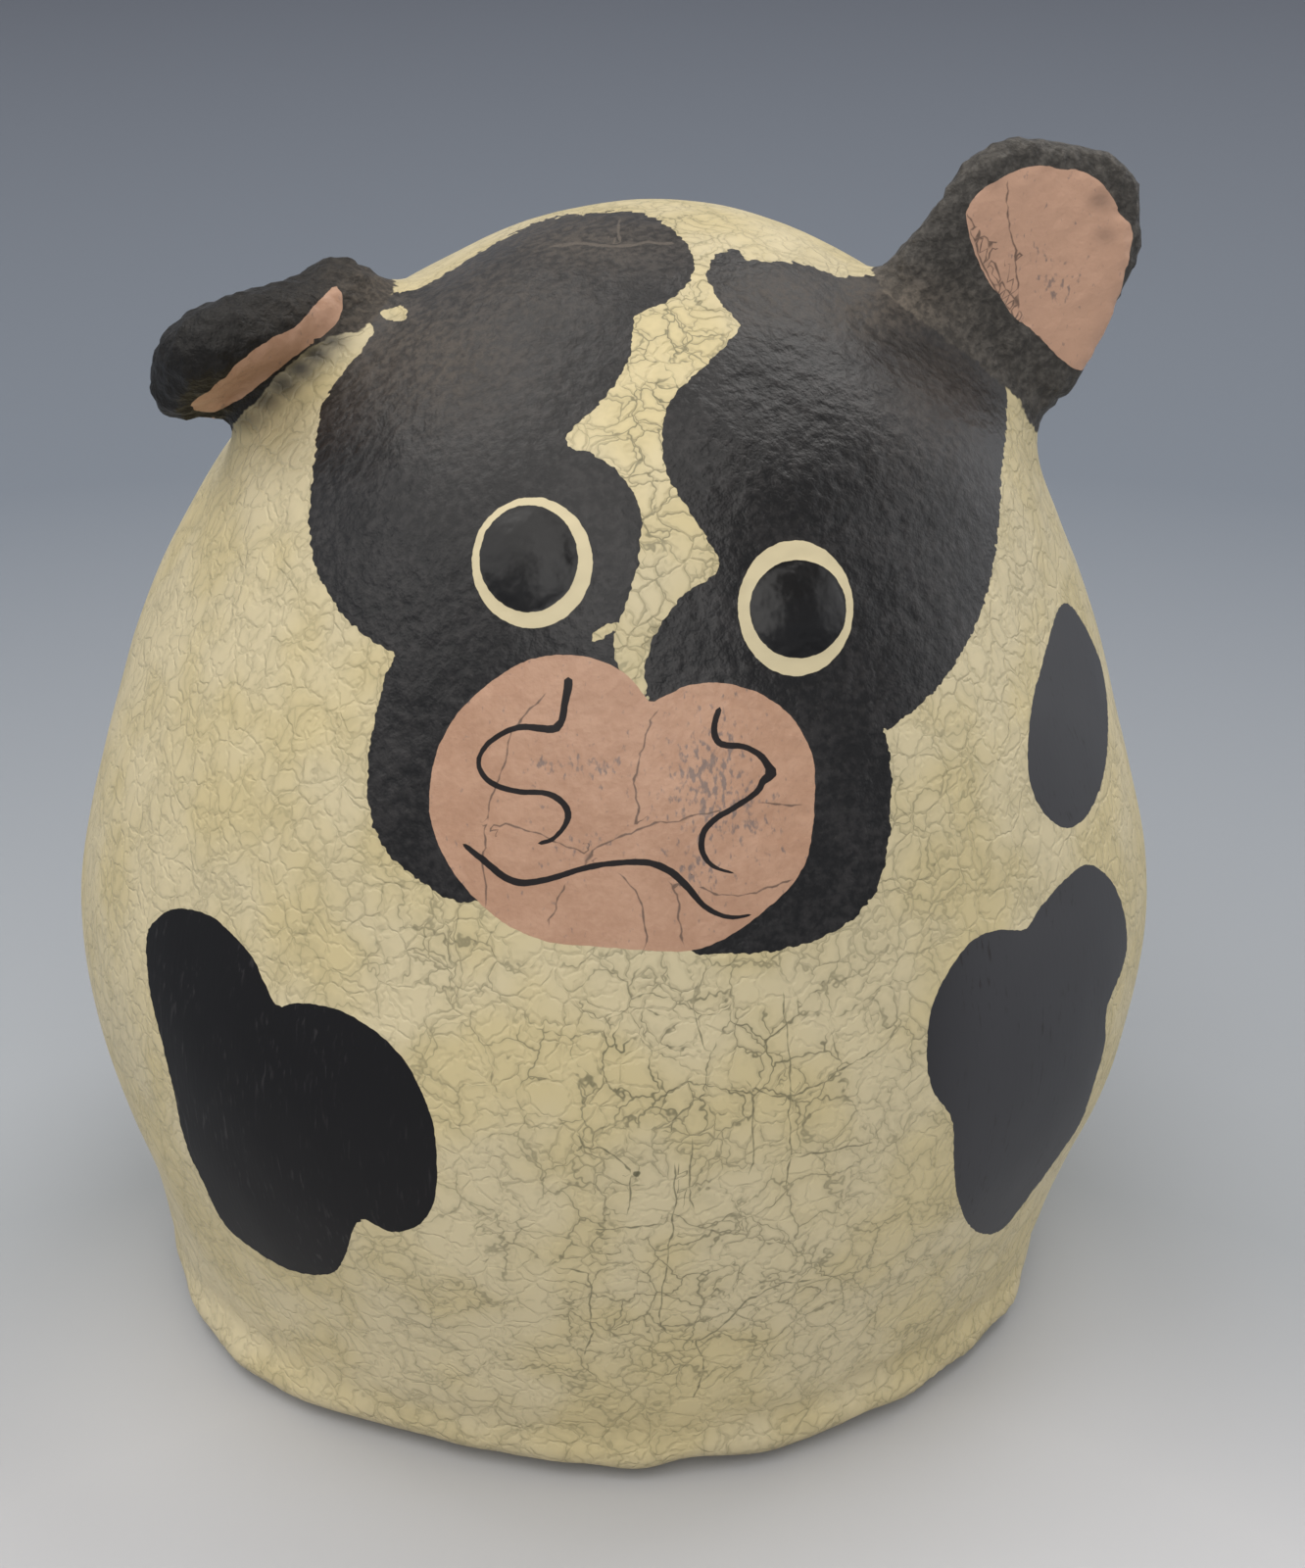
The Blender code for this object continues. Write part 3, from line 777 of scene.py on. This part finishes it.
def creamPaint(g, place, wobble):
    s = creamSet
    bends = g.noise(place, s["bends"][0], 0.0)
    kinks = g.noise(place, s["kinks"][0], 0.0)
    crooked = g.shift(place, bends.outputs["Color"], s["bends"][1])
    crooked = g.shift(crooked, kinks.outputs["Color"], s["kinks"][1])
    patches = g.noise(place, s["patches"], 1.0, 0.7)
    patchy = g.add("SeparateColor", {0: patches.outputs["Color"]}).outputs
    ragged = g.maths("MULTIPLY", g.maths("SUBTRACT", kinks.outputs["Fac"], 0.5), s["ragged"])
    dense = g.rise(g.attribute("faceBlack"), -s["nearFace"][0], -1.0, 0.0, s["nearFace"][1])
    strong = g.maths("ADD", g.attribute("crackle"), s["faintest"])
    lines = g.maths("MULTIPLY", tracedLine(g, wobble, s["traced"][0]), s["traced"][1])
    for number, (size, width, strength, bare) in enumerate(s["cracks"]):
        cells = g.add("TexVoronoi", {"Vector": crooked, "Scale": 1 / size}, feature="DISTANCE_TO_EDGE")
        gap = g.maths("MULTIPLY", cells.outputs["Distance"], size)
        here = g.maths("ADD", patchy[number], ragged)
        if number == 1:                             # the small cells
            here = g.maths("ADD", here, dense)
        presence = g.rise(here, bare, bare + s["fadeIn"])
        wide = g.maths("MULTIPLY_ADD", presence, width * 0.6, width * 0.4)
        line = g.rise(gap, g.maths("MULTIPLY", wide, 0.1), wide, strength, 0.0)
        line = g.maths("MULTIPLY", g.maths("MULTIPLY", line, presence), strong)
        lines = g.maths("MAXIMUM", lines, line)
        shade = g.maths("MULTIPLY", g.rise(gap, 0.1, *s["shade"], 0.0), presence)
        lines = g.maths("MAXIMUM", lines, shade)
    flakes = g.rise(gap, 0.0, s["flakeEdge"])       # the small cells have embossed edges
    tone = g.noise(place, s["clouds"], 2.0, 0.6).outputs["Fac"]
    colour = g.mix(g.rise(tone, 0.36, 0.64), s["colour"], s["warm"])
    height = g.add("SeparateXYZ", {0: place}).outputs[2]
    # painted shade: over the last few mm above the floor the cream turns darker
    colour = g.mix(g.rise(height, s["footShadeTop"], 1.0, 0.0, 0.7), colour, s["rim"])
    # the cream turns brown-black for the painted shade under the drooping ear, and a little where there
    # is dust
    dusty = g.maths("MULTIPLY", g.attribute("dust"), s["dustShare"])
    shadeAndDust = g.maths("MULTIPLY_ADD", g.attribute("shadeUnderEar"), s["shadeUnderEarShare"], dusty)
    colour = g.mix(shadeAndDust, colour, s["shadeUnderEar"])
    colour = g.mix(lines, colour, s["crack"])
    pit = g.add("VectorMath", {0: place, 1: pitPlace}, operation="DISTANCE").outputs["Value"]
    pit = g.maths("MULTIPLY_ADD", wobble, pitSet["raggedness"], pit)
    colour = g.mix(g.rise(pit, pitSet["radius"] * 0.7, pitSet["radius"], 0.9, 0.0), colour, s["crack"])
    shader = shaderFor(g, "cream", s["roughness"])
    g.tree.links.new(colour, shader.inputs["Base Color"])
    bumpFrom(g, shader, flakes, s["relief"])
    return shader


def dusted(g, colour, dust, grain):
    # A paint with dust, which lies thickest on its lumps, and how much rougher that makes it
    share = g.maths("MULTIPLY", g.attribute("dust"), g.rise(grain, 0.36, 0.68, 0.30, 0.85))
    return g.mix(share, colour, dust), g.maths("MULTIPLY", share, 0.5)


faceSet = {
    "colour": (0.0065, 0.0060, 0.0062, 1),
    # the greyer lumps are partly the paint's own mottling and partly painted sheen
    "greyAndSheen": (0.0235, 0.0215, 0.0212, 1),
    "dust": (0.112, 0.092, 0.073, 1),
    "roughness": 0.36,
    "shine": 0.37,
    "grain": 0.85,              # mm, width of the paint's lumps
    "clouds": 6.0,              # mm, width of the greyer places
    "relief": 0.13,             # mm
}


def facePaint(g, place, wobble):
    s = faceSet
    grain = g.noise(place, s["grain"], 2.0, 0.6).outputs["Fac"]
    broad = g.noise(place, s["clouds"], 2.0, 0.65).outputs["Fac"]
    uneven = g.maths("MULTIPLY_ADD", broad, 0.6, -0.3)
    # the paint's lumps turn greyer: partly its own mottling, partly painted sheen on them
    colour = g.mix(g.rise(g.maths("ADD", grain, uneven), 0.36, 0.76), s["colour"], s["greyAndSheen"])
    colour, dusty = dusted(g, colour, s["dust"], grain)
    colour = g.mix(g.maths("MULTIPLY", tracedLine(g, wobble, 1.2), 0.75), colour, s["dust"])
    shader = shaderFor(g, "face black", s["roughness"], s["shine"])
    g.tree.links.new(colour, shader.inputs["Base Color"])
    g.tree.links.new(g.maths("ADD", dusty, s["roughness"]), shader.inputs["Roughness"])
    bumpFrom(g, shader, grain, s["relief"])
    return shader


eyePaintSet = {
    "colour": (0.0055, 0.0050, 0.0050, 1),
    "roughness": 0.31,
    "shine": 0.36,
    "grain": 1.1,               # mm
    "relief": 0.08,
}


def eyePaint(g, place):
    s = eyePaintSet
    shader = shaderFor(g, "eye black", s["roughness"], s["shine"])
    shader.inputs["Base Color"].default_value = s["colour"]
    bumpFrom(g, shader, g.noise(place, s["grain"], 1.0).outputs["Fac"], s["relief"])
    return shader


earPaintSet = {
    "colour": (0.0085, 0.0080, 0.0075, 1),
    # painted highlight: grey on the ears' lumps, full on the raised ear and faint on the drooping one
    "greyAndSheen": (0.1150, 0.1050, 0.0920, 1),
    "dust": (0.200, 0.165, 0.130, 1),
    "droopingGrey": 0.08,       # share of the grey that the drooping ear has
    "roughness": 0.46,
    "shine": 0.17,
    "grain": 0.85,
    "relief": 0.34,             # mm
}


def earPaint(g, place):
    s = earPaintSet
    grain = g.noise(place, s["grain"], 2.0, 0.6).outputs["Fac"]
    sideways = g.add("SeparateXYZ", {0: place}).outputs[0]
    onRaised = g.rise(sideways, 0.0, 10.0, s["droopingGrey"], 1.0)
    # painted highlights: the lumps turn grey, mostly on the raised ear
    glints = g.maths("MULTIPLY", g.rise(grain, 0.35, 0.80, 0.36, 0.88), onRaised)
    colour, dusty = dusted(g, g.mix(glints, s["colour"], s["greyAndSheen"]), s["dust"], grain)
    shader = shaderFor(g, "ear black", s["roughness"], s["shine"])
    g.tree.links.new(colour, shader.inputs["Base Color"])
    g.tree.links.new(g.maths("ADD", dusty, s["roughness"]), shader.inputs["Roughness"])
    bumpFrom(g, shader, grain, s["relief"])
    return shader


spotSet = {
    "colour": (0.0060, 0.0058, 0.0068, 1),
    "scratch": (0.0300, 0.0275, 0.0285, 1),
    # painted reflection: the spots on the raised ear's side are lighter and bluer
    "paintedReflection": (0.0500, 0.0500, 0.0545, 1),        # the spots on the raised ear's side
    "reflectionFrom": (20.0, 40.0),   # mm to the animal's left, from where to where it sets in
    "roughness": 0.50,
    "shine": 0.22,
    "clouds": 6.0,              # mm, width of the places with and without scratches
    "scratches": (2.2, 2.2, 0.35),              # how close they lie on each axis
    "relief": 0.012,            # mm
}


def spotPaint(g, place):
    s = spotSet
    sideways = g.add("SeparateXYZ", {0: place}).outputs[0]
    # painted reflection: towards the raised ear's side the spots turn lighter and bluer
    colour = g.mix(g.rise(sideways, *s["reflectionFrom"]), s["colour"], s["paintedReflection"])
    broad = g.noise(place, s["clouds"], 1.0, 0.65).outputs["Fac"]
    long = g.add("Mapping", {"Vector": place, "Rotation": (0.0, 0.35, 0.0), "Scale": s["scratches"]})
    scratches = g.noise(long.outputs[0], 1.0, 2.0).outputs["Fac"]
    scratched = g.maths("MULTIPLY", g.rise(scratches, 0.56, 0.76), g.rise(broad, 0.42, 0.66))
    shader = shaderFor(g, "spot black", s["roughness"], s["shine"])
    g.tree.links.new(g.mix(scratched, colour, s["scratch"]), shader.inputs["Base Color"])
    bumpFrom(g, shader, scratches, s["relief"])
    return shader


pinkSet = {
    "colour": (0.445, 0.252, 0.157, 1),
    "light": (0.505, 0.298, 0.192, 1),
    # painted light: the raised ear's pink is lighter than the muzzle's
    "raised": (0.600, 0.360, 0.245, 1),
    "smudge": (0.100, 0.103, 0.112, 1),
    "crack": (0.085, 0.055, 0.040, 1),
    "roughness": 0.46,
    "grain": 0.7,               # mm
    "clouds": 5.0,              # mm, width of the lighter places
    "dabs": 0.75,               # mm, width of the grey dabs
    "raisedFrom": 28.0,         # mm to the animal's left, where the raised ear's pink starts
    "relief": 0.10,             # mm
}


def pinkPaint(g, place, wobble):
    s = pinkSet
    grain = g.noise(place, s["grain"], 2.0).outputs["Fac"]
    broad = g.noise(place, s["clouds"], 2.0, 0.65).outputs["Fac"]
    lighter = g.rise(g.maths("MULTIPLY_ADD", grain, 0.5, broad), 0.55, 0.95)
    colour = g.mix(lighter, s["colour"], s["light"])
    sideways = g.add("SeparateXYZ", {0: place}).outputs[0]
    # painted light: the pink on the raised ear is made lighter
    onRaised = g.rise(sideways, s["raisedFrom"], s["raisedFrom"] + 2, 0.0, 0.75)
    colour = g.mix(onRaised, colour, s["raised"])
    slanted = g.add("Mapping", {"Vector": place, "Rotation": (0.0, -0.8, 0.0), "Scale": (1.5, 1.0, 0.8)})
    dabs = g.noise(slanted.outputs[0], s["dabs"], 2.0).outputs["Fac"]
    dabs = g.maths("ADD", dabs, g.maths("MULTIPLY", g.attribute("smudge"), 0.24))
    colour = g.mix(g.rise(dabs, 0.64, 0.82, 0.0, 0.62), colour, s["smudge"])
    colour = g.mix(g.maths("MULTIPLY", tracedLine(g, wobble, 0.7), 0.8), colour, s["crack"])
    colour = g.mix(g.maths("MULTIPLY", g.attribute("dust"), 0.6), colour, s["crack"])
    shader = shaderFor(g, "pink", s["roughness"])
    g.tree.links.new(colour, shader.inputs["Base Color"])
    bumpFrom(g, shader, grain, s["relief"])
    return shader


def ringPaint(g):
    shader = shaderFor(g, "ring", creamSet["roughness"])
    shader.inputs["Base Color"].default_value = creamSet["colour"]
    return shader


inkSet = {"colour": (0.012, 0.009, 0.009, 1), "roughness": 0.50, "shine": 0.25}


def inkPaint(g):
    shader = shaderFor(g, "ink", inkSet["roughness"], inkSet["shine"])
    shader.inputs["Base Color"].default_value = inkSet["colour"]
    return shader


edgeSet = {                     # the painted areas' uneven edges
    "width": 0.9,               # mm, width of their waves
    "depth": 0.22,              # mm from trough to crest, at the most
    "face": (0.03, 3.5),        # softness in mm, and how ragged
    "ears": (0.1, 3.0),
}


def figurinePaint():
    material = bpy.data.materials.new("crackled_paint")
    material.use_nodes = True
    material.node_tree.nodes.clear()
    g = Graph(material.node_tree)
    where = g.add("TexCoord", {}).outputs["Object"]
    place = g.add("VectorMath", {0: where, "Scale": 1 / millimetre}, operation="SCALE").outputs[0]
    wobble = g.noise(place, edgeSet["width"], 1.0).outputs["Fac"]
    wobble = g.maths("MULTIPLY", g.maths("SUBTRACT", wobble, 0.5), edgeSet["depth"])

    def painted(name, edge=0.03, ragged=1.0):
        uneven = g.maths("MULTIPLY_ADD", wobble, ragged, g.attribute(name))
        return g.rise(uneven, -edge, edge)

    pink = g.maths("MAXIMUM", painted("muzzlePink"), painted("earPink"))
    offset = g.maths("ABSOLUTE", g.attribute("strokeOffset"))
    beyond = g.maths("SUBTRACT", offset, g.attribute("strokeHalf"))
    stroke = g.rise(g.maths("ADD", beyond, g.maths("MULTIPLY", wobble, 0.6)), -0.03, 0.03, 1.0, 0.0)
    stroke = g.maths("MULTIPLY", stroke, g.maths("LESS_THAN", g.attribute("strokeAway"), 1.1))
    surface = creamPaint(g, place, wobble).outputs[0]
    layers = (
        (painted("faceBlack", *edgeSet["face"]), facePaint(g, place, wobble)),
        (painted("spotBlack"), spotPaint(g, place)),
        (painted("earBlack", *edgeSet["ears"]), earPaint(g, place)),
        (pink, pinkPaint(g, place, wobble)),
        (painted("eyeRing"), ringPaint(g)), (painted("eyeDisc"), eyePaint(g, place)),
        (stroke, inkPaint(g)))
    for share, shader in layers:
        surface = g.add("MixShader", {0: share, 1: surface, 2: shader.outputs[0]}).outputs[0]
    g.add("OutputMaterial", {"Surface": surface})
    return material


figurine = bpy.data.objects.new("painted_cow_figurine", skin)
bpy.context.scene.collection.objects.link(figurine)
skin.materials.clear()
skin.materials.append(figurinePaint())
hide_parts("cow_figurine")
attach(figurine, "root")
print("figurine painted")

stageSet = {
    "radius": 4.0,
    # painted light: the paper's ramp from pale in front to dark behind stands in for light falling off
    "brightest": (0.0, -0.12, 0.0),     # the paper is palest here, and greyer behind the figurine
    "paper": (                          # metres from there, colour; far behind it is pale again
        (0.09, (0.51, 0.515, 0.53)), (0.14, (0.35, 0.37, 0.395)), (0.40, (0.152, 0.175, 0.210)),
        (0.90, (0.084, 0.096, 0.122)), (2.60, (0.400, 0.410, 0.430))),
    "sky": (0.365, 0.38, 0.41, 1),
    "horizon": 1.40,                    # strength of the sky there and overhead
    "overhead": 0.05,
}


def makeFloor(s):
    form = bmesh.new()
    bmesh.ops.create_circle(form, cap_ends=True, segments=64, radius=s["radius"])
    mesh = bpy.data.meshes.new("floor")
    form.to_mesh(mesh)
    form.free()
    floor = bpy.data.objects.new("floor", mesh)
    bpy.context.scene.collection.objects.link(floor)
    material = bpy.data.materials.new("studio_paper")
    material.use_nodes = True
    g = Graph(material.node_tree)
    shader = material.node_tree.nodes["Principled BSDF"]
    where = g.add("TexCoord", {}).outputs["Object"]
    away = g.add("VectorMath", {0: where, 1: s["brightest"]}, operation="DISTANCE").outputs["Value"]
    (start, before), *others = s["paper"]
    colour = (*before, 1)
    for distance, after in others:
        share = g.add("MapRange", {"Value": away, "From Min": start, "From Max": distance})
        colour = g.mix(share.outputs[0], colour, (*after, 1))
        start = distance
    g.tree.links.new(colour, shader.inputs["Base Color"])
    shader.inputs["Roughness"].default_value = 0.9
    mesh.materials.append(material)


# Lights: azimuth and elevation in degrees, distance and size in metres, watts, colour
lightSet = {
    "left": (-72, 44, 1.2, 1.05, 5.2, (1.0, 0.975, 0.945)),
    "front": (0, 35, 2.0, 1.4, 13.2, (1.0, 0.975, 0.945)),
    "top": (0, 72, 2.0, 1.4, 11.7, (1.0, 0.975, 0.945)),
    "right": (106, 10, 2.0, 2.4, 17.0, (1.0, 0.985, 0.970)),
    "backLeft": (-135, 60, 2.0, 1.2, 11.8, (1.0, 0.975, 0.945)),
    "backRight": (135, 55, 2.0, 1.2, 15.0, (1.0, 0.975, 0.945)),
}


def makeLights(s):
    aim = (Vector(cadBox[0]) + Vector(cadBox[1])) / 2
    for name, (azimuth, elevation, distance, size, power, colour) in s.items():
        a, e = math.radians(azimuth), math.radians(elevation)
        way = Vector((math.sin(a) * math.cos(e), -math.cos(a) * math.cos(e), math.sin(e)))
        data = bpy.data.lights.new(name, "AREA")
        data.size = size
        data.energy = power
        data.color = colour
        light = bpy.data.objects.new(name, data)
        light.location = aim + way * distance
        light.rotation_euler = (-way).to_track_quat("-Z", "Y").to_euler()
        bpy.context.scene.collection.objects.link(light)


def makeSky(s):
    world = bpy.data.worlds.new("studio")
    world.use_nodes = True
    background = world.node_tree.nodes["Background"]
    background.inputs["Color"].default_value = s["sky"]
    g = Graph(world.node_tree)
    height = g.add("SeparateXYZ", {0: g.add("TexCoord", {}).outputs["Generated"]}).outputs[2]
    strength = g.rise(height, 0.0, 1.0, s["horizon"], s["overhead"])
    g.tree.links.new(strength, background.inputs["Strength"])
    bpy.context.scene.world = world
    bpy.context.scene.view_settings.view_transform = "Standard"


makeFloor(stageSet)
makeLights(lightSet)
makeSky(stageSet)
print("stage and lights set")
